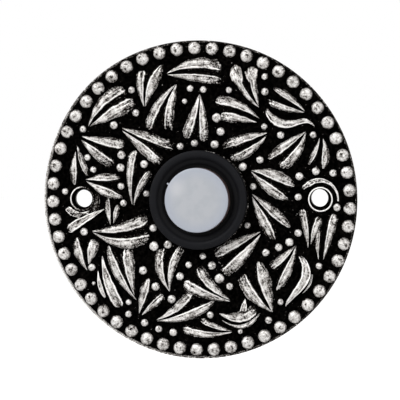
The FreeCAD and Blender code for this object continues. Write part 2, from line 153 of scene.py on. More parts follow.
# How a blade can end: R ragged and wide, D ragged and dusky, B blunt and rounded,
# P drawn to a point, H hooked, S wavy, K with a round knob.
# Each blade of a leaf: fine tip x, z, broad end x, z, width, sideways bow, end
BLADES = [
    (-28.3, 18.2, -19.2, 27.6, 2.5, 1.4, "R"),
    (-27.9, 18.1, -16.7, 24.5, 2.9, 0.1, "R"),
    (-14.1, 23.1, -14.6, 32.0, 2.0, 0.5, "B"),
    (-13.8, 23.1, -9.4, 33.5, 2.4, 0.5, "P"),
    (-8.3, 31.3, 5.5, 32.9, 2.6, 1.5, "R"),
    (-8.2, 31.0, 5.4, 29.6, 2.0, 0.1, "R"),
    (-6.0, 28.6, -13.0, 17.4, 2.1, -1.0, "R"),
    (-5.8, 28.6, -8.1, 17.2, 2.2, -0.5, "D"),
    (0.0, 26.2, -3.5, 15.2, 2.2, 0.2, "R"),
    (0.2, 26.0, 1.0, 14.3, 2.0, 0.2, "R"),
    (-19.7, 17.7, -6.3, 12.9, 2.1, 0.1, "D"),
    (-19.6, 17.0, -9.8, 8.9, 2.3, 0.15, "R"),
    (-30.0, 15.6, -19.2, 13.4, 2.3, -0.15, "B"),
    (-30.1, 14.7, -22.0, 8.5, 2.3, -0.2, "D"),
    (-31.2, 13.2, -28.5, 5.7, 1.3, -0.2, "P"),
    (-31.6, 11.8, -31.9, 3.4, 1.7, -0.2, "P"),
    (-29.0, 4.8, -20.2, 5.3, 1.8, 0.2, "P"),
    (-28.9, 4.4, -19.6, 0.4, 2.0, -0.3, "P"),
    (-17.1, -1.4, -16.5, 12.2, 1.9, 0.8, "B"),
    (-16.7, -1.6, -12.6, 6.9, 1.6, 0.6, "R"),
    (-24.3, -2.6, -33.7, -8.0, 1.6, -0.2, "B"),
    (-22.7, -6.5, -23.4, 0.4, 1.3, 0.1, "P"),
    (-21.9, -6.1, -20.8, -1.4, 1.2, 0.0, "P"),
    (-27.4, -8.1, -13.2, -4.9, 2.6, -0.9, "B"),
    (-27.2, -8.4, -12.8, -9.5, 2.5, -1.9, "R"),
    (-28.7, -17.9, -31.4, -9.7, 2.0, 0.6, "P"),
    (-28.3, -16.4, -26.8, -10.2, 2.5, 0.0, "R"),
    (-25.9, -18.0, -24.1, -24.8, 0.7, -0.4, "P"),
    (-24.8, -14.3, -20.2, -27.0, 2.0, -0.7, "B"),
    (-16.1, -25.2, -23.3, -11.6, 2.1, 1.0, "P"),
    (-16.6, -24.0, -18.5, -12.4, 2.6, 0.2, "B"),
    (-15.4, -28.6, -12.9, -19.7, 2.1, 0.1, "P"),
    (-14.7, -29.0, -9.2, -23.9, 1.7, 0.0, "R"),
    (-7.6, -23.0, -9.6, -12.2, 2.1, 1.3, "R"),
    (-7.6, -22.9, -4.6, -11.8, 1.9, 1.0, "R"),
    (-10.9, -30.1, -2.0, -23.2, 2.0, -0.8, "R"),
    (-10.8, -30.4, 3.7, -25.2, 2.1, -1.2, "P"),
    (7.6, -24.8, -0.4, -16.9, 2.2, 0.8, "R"),
    (7.7, -25.2, -4.0, -20.7, 2.5, 0.6, "B"),
    (8.2, -32.7, 0.3, -30.0, 1.2, 0.3, "R"),
    (8.2, -32.9, -4.3, -32.2, 1.8, 0.9, "B"),
    (5.0, -28.3, 14.2, -27.4, 2.8, -1.5, "R"),
    (5.6, -29.9, 15.3, -28.0, 1.0, -2.45, "P"),
    (11.5, -24.6, 10.9, -28.2, 1.2, 0.1, "B"),
    (18.2, -27.7, 10.7, -18.6, 2.7, 1.0, "R"),
    (18.4, -27.8, 14.8, -15.2, 2.8, -0.1, "P"),
    (24.0, -11.3, 18.0, -16.8, 1.8, 0.2, "R"),
    (24.3, -11.3, 19.4, -22.4, 1.9, 0.6, "P"),
    (21.7, -26.3, 25.5, -13.8, 1.75, -2.7, "H"),
    (25.9, -23.0, 28.3, -18.3, 0.25, -0.6, "P"),
    (27.3, -11.8, 25.8, -2.2, 1.7, -0.3, "B"),
    (28.0, -10.8, 30.1, -4.1, 1.7, 0.1, "B"),
    (29.9, -14.6, 30.1, -6.9, 1.0, 0.3, "P"),
    (31.1, -14.6, 33.8, -3.3, 1.9, -0.1, "B"),
    (15.3, -7.9, 3.8, -13.8, 2.4, -0.1, "R"),
    (15.4, -8.5, 6.0, -18.3, 2.6, 0.5, "R"),
    (13.3, 1.4, 22.8, -6.8, 2.1, 0.15, "P"),
    (13.2, 0.9, 19.0, -9.9, 2.5, -0.2, "P"),
    (13.1, 7.3, 24.0, 3.5, 2.5, 0.75, "P"),
    (13.0, 7.0, 22.3, 0.1, 2.3, -0.5, "P"),
    (15.0, 20.2, 4.0, 24.7, 2.2, -1.0, "B"),
    (14.4, 19.2, 5.3, 20.9, 2.2, -0.15, "R"),
    (28.9, 18.2, 16.7, 22.3, 1.7, 1.9, "S"),
    (26.4, 22.0, 18.5, 27.6, 1.5, -0.5, "P"),
    (26.3, 21.7, 16.9, 24.6, 1.5, 0.3, "D"),
    (15.0, 22.9, 8.7, 33.4, 2.3, 1.15, "K"),
    (14.8, 23.4, 12.9, 33.0, 2.3, 0.2, "K"),
    (17.0, 16.6, 5.8, 13.2, 2.1, -0.2, "D"),
    (17.0, 16.0, 7.9, 10.0, 2.0, 0.8, "R"),
    (26.6, 16.9, 17.2, 10.1, 1.9, -0.1, "P"),
    (26.7, 16.8, 20.5, 8.0, 2.3, 1.05, "R"),
    (30.1, 15.4, 27.3, 8.8, 1.2, 0.4, "P"),
    (31.0, 15.2, 31.0, 7.8, 1.7, 0.6, "P"),
]

# Small pellets: x, z, radius
PELLETS = [
    (-29.7, 17.4, 0.8), (-21.8, 18.4, 0.95), (-17.3, 27.2, 0.8), (-16.2, 21.5, 0.85),
    (-19.9, 11.0, 1.0), (-28.6, 10.3, 0.8), (-27.1, 7.3, 0.8), (-20.1, 7.8, 1.0),
    (-20.0, 3.2, 0.85), (-14.1, 8.7, 0.95), (-13.5, 1.4, 0.8), (-34.3, 1.8, 0.8),
    (-2.4, 27.6, 0.8), (-3.8, 24.4, 0.65), (-4.9, 13.2, 0.85), (-1.3, 14.0, 0.85),
    (0.9, 27.3, 0.8), (7.4, 27.2, 0.75), (16.4, 30.5, 0.8), (16.4, 26.8, 0.9),
    (4.3, 20.3, 1.1), (5.3, 16.9, 1.0), (16.3, 18.2, 0.75), (3.8, 13.7, 1.0),
    (20.4, 16.1, 0.9), (28.5, 16.2, 0.8), (15.2, 10.0, 0.9), (10.9, 8.2, 1.0),
    (29.2, 7.2, 0.95), (33.5, 6.8, 0.9), (25.1, 5.9, 0.95), (13.5, 3.3, 0.8),
    (24.8, 0.8, 0.85), (-19.4, -1.0, 0.8), (-29.5, -8.3, 0.95), (-11.8, -7.2, 0.9),
    (-11.6, -11.7, 1.15), (-8.1, -11.3, 0.95), (-27.5, -17.2, 0.9), (-27.0, -21.2, 0.45),
    (-14.4, -17.8, 1.0), (-2.8, -16.3, 0.8), (-5.0, -19.2, 0.95), (-11.2, -21.8, 1.0),
    (-18.1, -25.8, 0.7), (-18.1, -28.8, 0.8), (-7.1, -24.9, 1.0), (-14.0, -30.9, 0.9),
    (-10.4, -32.4, 0.85), (-6.7, -33.2, 0.95), (12.1, -6.3, 0.75), (34.5, -1.7, 0.9),
    (24.8, -8.1, 0.9), (22.6, -10.4, 1.0), (19.9, -11.7, 0.9), (16.7, -13.0, 0.9),
    (3.1, -16.4, 1.0), (0.8, -14.1, 0.8), (5.0, -19.6, 1.15), (7.6, -21.5, 0.85),
    (30.0, -16.2, 0.8), (20.4, -25.2, 0.75), (17.4, -29.8, 0.85), (2.7, -28.7, 0.85),
    (10.3, -32.7, 0.6),
]

# Curved leaves about the screw holes, fine end first: angle, radius, width
RIGHT_HOLE_LEAF = [
    (-6, 4.4, 0.3), (25, 4.45, 0.35), (55, 4.6, 0.5), (90, 4.7, 0.9), (125, 4.7, 1.1),
    (150, 5.1, 0.6),
]
LEFT_HOLE_LEAF = [
    (400, 3.9, 0.5), (370, 4.0, 0.9), (335, 4.05, 1.2), (300, 4.05, 1.2), (265, 4.1, 1.2),
    (235, 4.3, 1.5), (210, 4.4, 1.3),
]

# Width of a blade from its tip at 0 to its end at 1, as a share of its half width
LEAF_WIDTHS = {
    "R": [(0.0, 0.07), (0.15, 0.32), (0.38, 0.75), (0.62, 1.0), (0.84, 1.0), (1.0, 0.82)],
    "B": [(0.0, 0.07), (0.15, 0.31), (0.40, 0.73), (0.68, 0.99), (0.88, 1.0), (1.0, 0.86)],
    "D": [(0.0, 0.08), (0.15, 0.40), (0.38, 0.84), (0.62, 1.0), (0.84, 0.92), (1.0, 0.70)],
    "S": [
        (0.0, 0.08), (0.10, 0.30), (0.28, 0.74), (0.5, 0.98), (0.75, 1.0), (0.92, 0.9),
        (1.0, 0.62),
    ],
    "K": [
        (0.0, 0.08), (0.2, 0.36), (0.45, 0.62), (0.6, 0.64), (0.76, 1.04), (0.88, 1.14),
        (1.0, 1.0),
    ],
    "H": [(0.0, 0.08), (0.15, 0.45), (0.38, 0.85), (0.62, 1.0), (0.84, 0.92), (1.0, 0.70)],
    "P": [
        (0.0, 0.07), (0.15, 0.36), (0.38, 0.85), (0.62, 1.08), (0.8, 0.88), (0.93, 0.50),
        (1.0, 0.16),
    ],
}
LEAF_RISE = [(0.0, 0.40), (0.3, 0.85), (0.6, 1.0), (0.8, 0.9), (1.0, 0.3)]

# Share of the end that is torn, its raggedness and its loss of polish
LEAF_ENDS = {
    "R": (0.055, 1.0, 0.12),
    "D": (0.06, 1.4, 0.42),
    "S": (0.05, 0.2, 0.0),
    "K": (0.19, 0.2, 0.0),
    "B": (0.07, 0.45, 0.05),
    "H": (0.04, 0.6, 0.1),
    "P": (0.02, 0.5, 0.1),
}
ragged_from = 0.55
dusky_ragged_from = 0.3
hole_leaf_ragged_from = 0.1

# Section of a leaf: places in shares of its half width, where 1 is the edge beside its
# partner and -1 the outer edge
fillet = 0.22
tip_length = 0.03
crest_place, crest_width = 0.57, 0.10
edge_place, edge_width = -0.86, 0.07
flute_place, flute_width, flute_depth = 0.22, 0.16, 0.11
flank_from = 0.60
outer_from = 0.3
wavy_inner = 0.75
wavy_turn = 0.3
wavy_turn_back = -0.35
hook_power = 1.55

# Polish from 0, the black ground, to 1, bright silver, with painted highlight on crests and edges
# and painted shade down flanks
leaf_polish = 0.665
crest_polish_and_highlight = 0.40
edge_polish_and_highlight = 0.20
swell_polish = 0.26
outer_patina_and_shade = 0.42
flank_patina_and_shade = 0.78
foot_dulling = 0.5
bead_polish = 0.34
pellet_polish = 0.38
bead_ragged = 0.24
ground_polish = 0.1


class Value:
    """One output of a shader node, used in sums like a number."""

    def __init__(self, graph, socket):
        self.graph = graph
        self.socket = socket

    def math(self, operation, *others):
        return self.graph.node("ShaderNodeMath", {"operation": operation}, [self, *others])

    def __add__(self, other):
        return self.math("ADD", other)

    def __sub__(self, other):
        return self.math("SUBTRACT", other)

    def __rsub__(self, other):
        return self.graph.node("ShaderNodeMath", {"operation": "SUBTRACT"}, [other, self])

    def __mul__(self, other):
        return self.math("MULTIPLY", other)

    __radd__ = __add__

    def clamped(self):
        """The value, held between 0 and 1."""
        settings = {"operation": "ADD", "use_clamp": True}
        return self.graph.node("ShaderNodeMath", settings, [self, 0.0])

    def step(self, low, high):
        """Smooth rise from 0 at low to 1 at high, or fall where low is the higher."""
        settings = {"interpolation_type": "SMOOTHSTEP"}
        values = {"Value": self, "From Min": low, "From Max": high}
        return self.graph.node("ShaderNodeMapRange", settings, values)


class Graph:
    """Shader nodes of one material or of the world."""

    def __init__(self, owner):
        owner.use_nodes = True
        self.tree = owner.node_tree
        self.tree.nodes.clear()

    def node(self, kind, settings, values, output=0):
        """Any node: its settings first, then the values or links of its sockets."""
        made = self.tree.nodes.new(kind)
        for key, setting in settings.items():
            if key == "stops":
                self.set_stops(made.color_ramp, setting)
            else:
                setattr(made, key, setting)
        items = values.items() if isinstance(values, dict) else enumerate(values)
        for key, value in items:
            if isinstance(value, Value):
                self.tree.links.new(value.socket, made.inputs[key])
            else:
                made.inputs[key].default_value = value
        return Value(self, made.outputs[output]) if made.outputs else None

    @staticmethod
    def set_stops(ramp, stops):
        while len(ramp.elements) < len(stops):
            ramp.elements.new(1.0)
        for element, (position, colour) in zip(ramp.elements, stops):
            element.position = position
            element.color = (*colour, 1.0)


class Finish(Graph):
    """A material under construction, in the object's own coordinates."""

    def __init__(self, name):
        self.material = bpy.data.materials.new(name)
        super().__init__(self.material)
        self.place = self.node("ShaderNodeTexCoord", {}, {}, "Object")

    def grain(self, size_mm, detail=2.0, place=None, roughness=0.5):
        """Noise whose lumps are about the given size."""
        values = {
            "Vector": place or self.place,
            "Scale": 1.0 / (size_mm * MM),
            "Detail": detail,
            "Roughness": roughness,
        }
        return self.node("ShaderNodeTexNoise", {}, values, "Fac")

    def distance(self, x, y, z):
        """Distance in millimetres from a point of the object."""
        ends = [self.place, (x * MM, y * MM, z * MM)]
        metres = self.node("ShaderNodeVectorMath", {"operation": "DISTANCE"}, ends, "Value")
        return metres * (1 / MM)

    def mix(self, share, first, second):
        """Colour between two, by a share."""
        factor, colour_a, colour_b, result = 0, 6, 7, 2
        values = {factor: share, colour_a: first, colour_b: second}
        return self.node("ShaderNodeMix", {"data_type": "RGBA"}, values, result)

    def bump(self, height, depth_mm, strength=1.0):
        values = {"Height": height, "Distance": depth_mm * MM, "Strength": strength}
        return self.node("ShaderNodeBump", {}, values, "Normal")

    def attribute(self, name, output="Fac"):
        return self.node("ShaderNodeAttribute", {"attribute_name": name}, {}, output)

    def surface(self, **inputs):
        """Principled shader from its sockets, as the material's surface."""
        values = {key.replace("_", " "): value for key, value in inputs.items()}
        self.output(self.node("ShaderNodeBsdfPrincipled", {}, values, "BSDF"))
        return self.material

    def output(self, shader):
        self.node("ShaderNodeOutputMaterial", {}, {"Surface": shader})


def rgba(r, g, b):
    return (r, g, b, 1.0)


def make_antique_silver():
    """Silver polished bright by wear on the raised parts, black patina in the ground, pits between,
    and painted highlight and painted shade from the vertex value.
    """
    f = Finish("antique_silver")
    worn = f.attribute("worn")
    ragged = f.attribute("ragged")
    along_leaf = {
        "Vector": f.attribute("lie", "Vector"), "Scale": 1.0, "Detail": 2.5, "Roughness": 0.6,
    }
    streaks = f.node("ShaderNodeTexNoise", {}, along_leaf, "Fac")
    speckle = f.grain(0.34, 3.0, roughness=0.7)
    crumbs = f.grain(0.55)
    cloud = f.grain(1.6)

    # Level of polish and painted light, broken up most where the metal is ragged
    level = worn - ragged * 0.08 + (cloud - 0.5) * 0.2
    unrest = 0.33 + ragged * 0.9
    patterns = ((streaks, 0.25, 1.05), (speckle, 0.3, 1.35), (crumbs, 0.1, 0.75))
    for pattern, least, strength in patterns:
        level = level + (pattern - 0.5) * (unrest + least) * strength
    cracks = streaks.step(0.58, 0.67) * cloud.step(0.40, 0.54)
    pits = crumbs.step(0.62, 0.68) * cloud.step(0.5, 0.62) * speckle.step(0.42, 0.56)
    bright_grains = crumbs.step(0.68, 0.74) * speckle.step(0.5, 0.62)
    level = level - cracks * 0.4 - pits * 0.4 + bright_grains * 0.5

    tones = [
        (0.0, (0.0, 0.0, 0.0)),
        (0.30, (0.0035, 0.0028, 0.0024)),
        (0.41, (0.045, 0.037, 0.032)),
        (0.50, (0.26, 0.243, 0.228)),
        (0.62, (0.52, 0.50, 0.48)),
        (0.85, (0.82, 0.80, 0.78)),
        (1.0, (0.93, 0.91, 0.89)),
    ]
    ground = f.mix(
        crumbs.step(0.4, 0.7), rgba(0.0003, 0.0003, 0.0003), rgba(0.0036, 0.0031, 0.0028))
    front = f.node("ShaderNodeValToRGB", {"stops": tones}, {"Fac": level}, "Color")
    front = f.mix(level.step(0.25, 0.36), ground, front)

    # Sanded and stained back of the casting
    back = f.attribute("back")
    drawn_out = {"Vector": f.place, "Scale": (0.06, 1.0, 1.0)}
    scratches = f.grain(0.22, 3.0, place=f.node("ShaderNodeMapping", {}, drawn_out))
    stain = f.grain(7.0, 4.0)
    sanded = f.mix(
        scratches.step(0.3, 0.7), rgba(0.30, 0.295, 0.29), rgba(0.46, 0.455, 0.445))
    sanded = f.mix(stain.step(0.46, 0.66) * 0.75, sanded, rgba(0.10, 0.092, 0.085))
    sanded = f.mix(crumbs.step(0.64, 0.7), sanded, rgba(0.05, 0.046, 0.042))

    bright = level.step(0.36, 0.6)
    height = streaks * 0.4 + speckle * 0.7 + crumbs * 0.5 + bright * 0.4
    return f.surface(
        Base_Color=f.mix(back, front, sanded),
        Metallic=(bright * 0.42 + back * 0.5).clamped(),
        Roughness=0.56 - bright * 0.2,
        Normal=f.bump(height, 0.16),
        Specular_IOR_Level=0.0,
    )


def make_black_moulding():
    """Satin black plastic with fine dust, and painted shade inside the throat and on the step of
    the groove.
    """
    f = Finish("black_moulding")
    cloud = f.grain(3.0, 3.0)
    dust = f.grain(0.35, 1.0).step(0.74, 0.78)
    colour = f.mix(cloud, rgba(0.0036, 0.0038, 0.0050), rgba(0.0072, 0.0074, 0.0090))
    colour = f.mix(dust * 0.4, colour, rgba(0.06, 0.06, 0.06))
    return f.surface(
        Base_Color=f.mix(f.attribute("shade") * 0.85, colour, rgba(0.001, 0.001, 0.001)),
        Roughness=0.5 + cloud * 0.12,
        Normal=f.bump(f.grain(0.12), 0.012, 0.6),
        Specular_IOR_Level=0.09,
    )


def make_white_moulding():
    """Translucent white, bluish towards its edge, with a painted highlight at the upper left and
    painted shade on the skirt.
    """
    f = Finish("white_moulding")
    cloud = f.grain(2.6)
    colour = f.mix(
        cloud.step(0.35, 0.65), rgba(0.378, 0.394, 0.424), rgba(0.408, 0.422, 0.448))
    towards_edge = f.distance(0.0, cap_face_y, 0.0).step(4.5, cap_r)
    colour = f.mix(towards_edge, colour, rgba(0.358, 0.382, 0.435))
    # Painted highlight: a pale spot at the upper left of the face
    glow = f.distance(-4.9, cap_face_y, 2.9).step(3.4, 0.2)
    colour = f.mix(glow * 0.55, colour, rgba(0.54, 0.545, 0.56))
    return f.surface(
        # Painted shade on the skirt, a dark reddish brown
        Base_Color=f.mix(f.attribute("shade"), colour, rgba(0.112, 0.072, 0.069)),
        Roughness=0.32 + f.grain(0.6, 3.0) * 0.08,
        Normal=f.bump(f.grain(0.25), 0.004, 0.5),
    )


def make_metal(name, dark, light, roughness):
    """Plain metal with clouds of tarnish and a fine grain, darkened by the piece's shade value:
    painted shade, and on the washers an even darker tone.
    """
    f = Finish(name)
    tarnish = f.grain(2.2, 4.0).step(0.45, 0.7)
    fine = f.grain(0.5, 3.0)
    colour = f.mix(tarnish, light, dark)
    return f.surface(
        # Painted shade from the piece's shade value; on the washers the same value gives an even
        # darker tone
        Base_Color=f.mix(f.attribute("shade") * 0.92, colour, rgba(0.01, 0.009, 0.008)),
        Metallic=0.85,
        Roughness=roughness + tarnish * 0.15 + fine * 0.08,
        Normal=f.bump(fine, 0.01, 0.6),
    )


def make_phenolic():
    """Mottled dark brown moulding of the terminal base."""
    f = Finish("brown_moulding")
    mottle = f.grain(0.9, 4.0)
    colour = f.mix(
        mottle.step(0.35, 0.7), rgba(0.030, 0.017, 0.011), rgba(0.075, 0.042, 0.026))
    return f.surface(
        Base_Color=colour,
        Roughness=0.38 + mottle * 0.12,
        Normal=f.bump(f.grain(0.3), 0.01, 0.5),
    )


def make_glass():
    """Clear glass of the lamp, faintly clouded."""
    f = Finish("lamp_glass")
    return f.surface(
        Base_Color=f.mix(f.grain(1.5), rgba(0.96, 0.95, 0.92), rgba(0.88, 0.86, 0.80)),
        Roughness=0.03 + f.grain(0.8) * 0.05,
        Transmission_Weight=0.9,
        IOR=1.47,
    )


def new_bmesh():
    """Empty bmesh with the vertex values that the finishes read."""
    bm = bmesh.new()
    for name in ("worn", "ragged", "back", "shade"):
        bm.verts.layers.float.new(name)
    bm.verts.layers.float_vector.new("lie")
    return bm


def layer(bm, name):
    return bm.verts.layers.float[name]


def moved(bm, place):
    bmesh.ops.translate(bm, vec=place, verts=bm.verts)
    return bm


def turn_about_push(bm, degrees):
    turn = Matrix.Rotation(math.radians(degrees), 3, "Y")
    bmesh.ops.rotate(bm, cent=PUSH_CENTRE, matrix=turn, verts=bm.verts)
    return bm


def turned(profile, steps=160, centre=(0.0, 0.0, 0.0)):
    """One closed body turned about the push axis from its (radius, y) corners, then moved."""
    bm = new_bmesh()
    corners = [bm.verts.new((r, y, 0)) for r, y in profile]
    edges = [bm.edges.new(ends) for ends in zip(corners, corners[1:] + corners[:1])]
    bmesh.ops.spin(
        bm, geom=corners + edges, cent=PUSH_CENTRE, axis=PUSH_AXIS, angle=math.tau,
        steps=steps, use_merge=True)
    bmesh.ops.remove_doubles(bm, verts=bm.verts, dist=merge_distance)
    bmesh.ops.recalc_face_normals(bm, faces=bm.faces)
    return moved(bm, centre)


def block(low, high, edge=0.0):
    """Block between two corners, its edges eased."""
    bm = new_bmesh()
    bmesh.ops.create_cube(bm, size=1.0)
    bmesh.ops.scale(bm, vec=[b - a for a, b in zip(low, high)], verts=bm.verts)
    moved(bm, [(a + b) / 2 for a, b in zip(low, high)])
    if edge:
        bmesh.ops.bevel(
            bm, geom=list(bm.edges), offset=edge, offset_type="OFFSET", segments=2,
            profile=0.5, affect="EDGES", material=-1)
    return bm


BLANKS = {}


def blank(around, rings):
    """A fresh unit ball to be shaped, copied from the first of its kind."""
    if (around, rings) not in BLANKS:
        ball = new_bmesh()
        bmesh.ops.create_uvsphere(ball, u_segments=around, v_segments=rings, radius=1.0)
        BLANKS[(around, rings)] = ball
    return BLANKS[(around, rings)].copy()


def crowded(angle, whole, share=0.8):
    """Move an angle so that most of the steps fall in the first half, which shows."""
    if angle < whole * share:
        return angle / share * 0.5
    return whole * 0.5 + (angle - whole * share) / (1.0 - share) * 0.5


def joined(target, source):
    """Copy one bmesh into another and free it."""
    mesh = bpy.data.meshes.new("part")
    source.to_mesh(mesh)
    source.free()
    target.from_mesh(mesh)
    bpy.data.meshes.remove(mesh)


def cut_out(body, cutters):
    """What is left of a body after its cutters."""
    things = []
    for part in [body, *cutters]:
        mesh = bpy.data.meshes.new("body")
        part.to_mesh(mesh)
        part.free()
        thing = bpy.data.objects.new("body", mesh)
        bpy.context.scene.collection.objects.link(thing)
        things.append(thing)
    for cutter in things[1:]:
        cut = things[0].modifiers.new("cut", "BOOLEAN")
        cut.operation = "DIFFERENCE"
        cut.object = cutter
        cut.solver = "EXACT"
    bpy.context.view_layer.update()
    cut_body = things[0].evaluated_get(bpy.context.evaluated_depsgraph_get())
    left = bpy.data.meshes.new_from_object(cut_body)
    for thing in things:
        bpy.data.objects.remove(thing)
    bm = new_bmesh()
    bm.from_mesh(left)
    bpy.data.meshes.remove(left)
    return bm


def piece(name, bm, finish, body, replaces, sharp):
    """Finished object in metres, riding on its body."""
    bmesh.ops.scale(bm, vec=(MM, MM, MM), verts=bm.verts)
    mesh = bpy.data.meshes.new(name)
    bm.to_mesh(mesh)
    bm.free()
    mesh.shade_smooth()
    mesh.set_sharp_from_angle(angle=math.radians(sharp))
    made = bpy.data.objects.new(name, mesh)
    bpy.context.scene.collection.objects.link(made)
    made.data.materials.append(finish)
    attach(made, body)
    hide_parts(*replaces)
    return made


def between(points, t):
    """Smooth value at t from (t, value) points."""
    for (t0, v0), (t1, v1) in zip(points, points[1:]):
        if t <= t1:
            s = (t - t0) / (t1 - t0)
            return v0 + (v1 - v0) * (s * s * (3 - 2 * s) * 0.5 + s * 0.5)
    return points[-1][1]


def past(value, start, end=1.0):
    """How far a value has gone on its way from start to end, and 0 before the start."""
    return max(0.0, (value - start) / (end - start))


def bell(place, middle, width):
    """Soft swell of height 1 about a middle."""
    return math.exp(-((place - middle) / width) ** 2)


def bump_at(angle, middle, spread):
    """Soft swell in degrees about one direction of a ring."""
    return bell((angle - middle + 180.0) % 360.0, 180.0, spread)


def noise_at(x, y, z):
    return noise.noise(Vector((x, y, z)))


def leaf_section(across, up):
    """Place on a leaf's round section: from -1 to 1 across it, and above 0 on top."""
    if math.hypot(across, up) < 1e-5:
        return 0.0, 0.0
    about = crowded(math.atan2(up, across) % math.tau, math.tau)
    return math.cos(about), math.sin(about)


def leaf_along(target, midline, half_width, rise, seed, inner, ends, torn_from, dull=0.0, rings=30):
    """Swelling leaf along a midline: t gives (x, z, unit x, unit z, length so far).

    Its crest stands near the edge beside its partner, where the flank falls into the dark.
    A leaf whose inner is 0 has no partner, and its two sides are alike.
    """
    bm = blank(30, rings)
    worn = layer(bm, "worn")
    ragged = layer(bm, "ragged")
    lie = bm.verts.layers.float_vector["lie"]
    tear, roughen, fade = LEAF_ENDS[ends]
    for v in bm.verts:
        across, up, way = v.co
        t = 0.5 - 0.5 * way
        turn, lift = leaf_section(across, up)
        x, z, ux, uz, run = midline(t)

        # Outline, with a torn end and a wavering edge
        torn = tear + tear * roughen * noise_at(seed * 2.3, turn * 2.6, 0.0)
        end = math.sqrt(max(0.0, 1.0 - past(t, 1.0 - torn) ** 2))
        start = min(1.0, math.sqrt(t / tip_length))
        wave = noise_at(run * 0.8, seed * 7.3, math.copysign(1.0, turn))
        frill = noise_at(run * 2.4, seed * 3.1, turn * 2)
        side = turn * half_width(t) * end * start * (1.0 + 0.16 * wave + 0.22 * t * t * frill)
        side += math.copysign(fillet * min(1.0, 0.25 + t) * abs(turn) ** 10, turn)

        # Height, from the crest down to either edge
        inward = turn * inner if inner else abs(turn) * 0.9 - 0.2
        if ends == "K":
            inward *= 1.0 - 0.6 * min(1.0, past(t, 0.6, 0.72))
        flank = past(inward, flank_from)
        shoulder = 1.0 - max(0.0, -inward) ** 4.5 - 0.95 * flank ** 1.2
        flute = flute_depth * bell(inward, flute_place, flute_width) * min(1.0, t * 2)
        swell = noise_at(run * 0.7, side * 1.1, seed * 5.7)
        share = max(0.0, shoulder - flute) * (1.0 + 0.16 * swell)
        y = field_y - rise(t) * share * end if lift > 0.0 else field_y - 0.35 * lift
        v.co = (x - uz * side, y, z + ux * side)

        # Polish with a painted highlight on the crest and edge, black patina in the flute, and
        # patina with painted shade down the flank and outer side
        faded = dull * (1.0 - t)
        outer = past(-inward, outer_from)
        tone = leaf_polish + swell_polish * swell - flute - faded
        # Painted highlight lines along the crest and the outer edge, over their polish
        brow = crest_polish_and_highlight * bell(inward, crest_place, crest_width)
        brow += edge_polish_and_highlight * bell(inward, edge_place, edge_width)
        tone += brow * (1.0 - 1.4 * faded)
        # Painted shade with patina: darker towards the outer edge and down the flank into the V
        tone -= outer_patina_and_shade * outer ** 1.5 + flank_patina_and_shade * min(1.0, flank * 2.0) ** 1.4
        tone -= foot_dulling * past(abs(turn), 0.90) + fade * past(t, 0.8) ** 2
        least = 0.05 + 0.2 * min(1.0, flank * 3.0)
        v[worn] = max(least, tone) * (0.45 + 0.55 * end) if lift > 0.0 else 0.0
        v[ragged] = min(1.0, roughen * past(t, torn_from) ** 1.3 + 0.75 * outer ** 2 + faded)
        v[lie] = (run * 0.4 + seed * 11.0, side * 3.0, seed * 3.7)
    joined(target, bm)


def inner_side(tip_x, tip_z, end_x, end_z):
    """Which side of a blade faces its partner from the same tip: 1 left, -1 right, 0 none."""
    farthest_partner = 2.7
    nearest = None
    for x0, z0, x1, z1 in (row[:4] for row in BLADES):
        gap = math.hypot(x0 - tip_x, z0 - tip_z)
        itself = (x0, z0, x1, z1) == (tip_x, tip_z, end_x, end_z)
        if not itself and gap < farthest_partner and (nearest is None or gap < nearest[0]):
            nearest = (gap, x1, z1)
    if nearest is None:
        return 0
    gap, x1, z1 = nearest
    towards = (end_x - tip_x) * (z1 - end_z) - (end_z - tip_z) * (x1 - end_x)
    return 1 if towards > 0 else -1


def blade(bm, tip_x, tip_z, end_x, end_z, width, bow, ends, seed):
    """One leaf blade from its fine tip to its broad end."""
    length = math.hypot(end_x - tip_x, end_z - tip_z)
    ux = (end_x - tip_x) / length
    uz = (end_z - tip_z) / length
    tallest = min(leaf_rise, 0.35 + 0.35 * width)
    inner = wavy_inner if ends == "S" else inner_side(tip_x, tip_z, end_x, end_z)
    torn_from = dusky_ragged_from if ends == "D" else ragged_from

    def bent(t):
        """Sideways place of the midline, as a share of the bow."""
        if ends == "S" and t <= wavy_turn:
            back = t / wavy_turn
            return 4 * wavy_turn_back * back * (1 - back)
        on = past(t, wavy_turn) if ends == "S" else t ** hook_power if ends == "H" else t
        return 4 * on * (1 - on)

    def midline(t):
        side = bow * bent(t)
        x = tip_x + ux * length * t - uz * side + relief_shift_x
        return x, tip_z + uz * length * t + ux * side, ux, uz, length * t

    def half_width(t):
        return width * 0.62 * between(LEAF_WIDTHS[ends], t)

    def rise(t):
        return tallest * between(LEAF_RISE, t)

    leaf_along(bm, midline, half_width, rise, seed, inner, ends, torn_from)


def hole_leaf(bm, centre_x, centre_z, stations, seed, dull):
    """Curved leaf that wraps round one screw hole."""
    steps = [k / (len(stations) - 1) for k in range(len(stations))]
    angles, radii, widths = (list(zip(steps, column)) for column in zip(*stations))
    first = math.radians(stations[0][0])

    def midline(t):
        a = math.radians(between(angles, t))
        r = between(radii, t)
        x = centre_x + r * math.cos(a)
        return x, centre_z + r * math.sin(a), -math.sin(a), math.cos(a), r * abs(a - first)

    def half_width(t):
        return between(widths, t) / 2

    def rise(t):
        return hole_leaf_rise * min(1.0, 0.5 + t)

    leaf_along(bm, midline, half_width, rise, seed, 0, "R", hole_leaf_ragged_from, dull, 44)


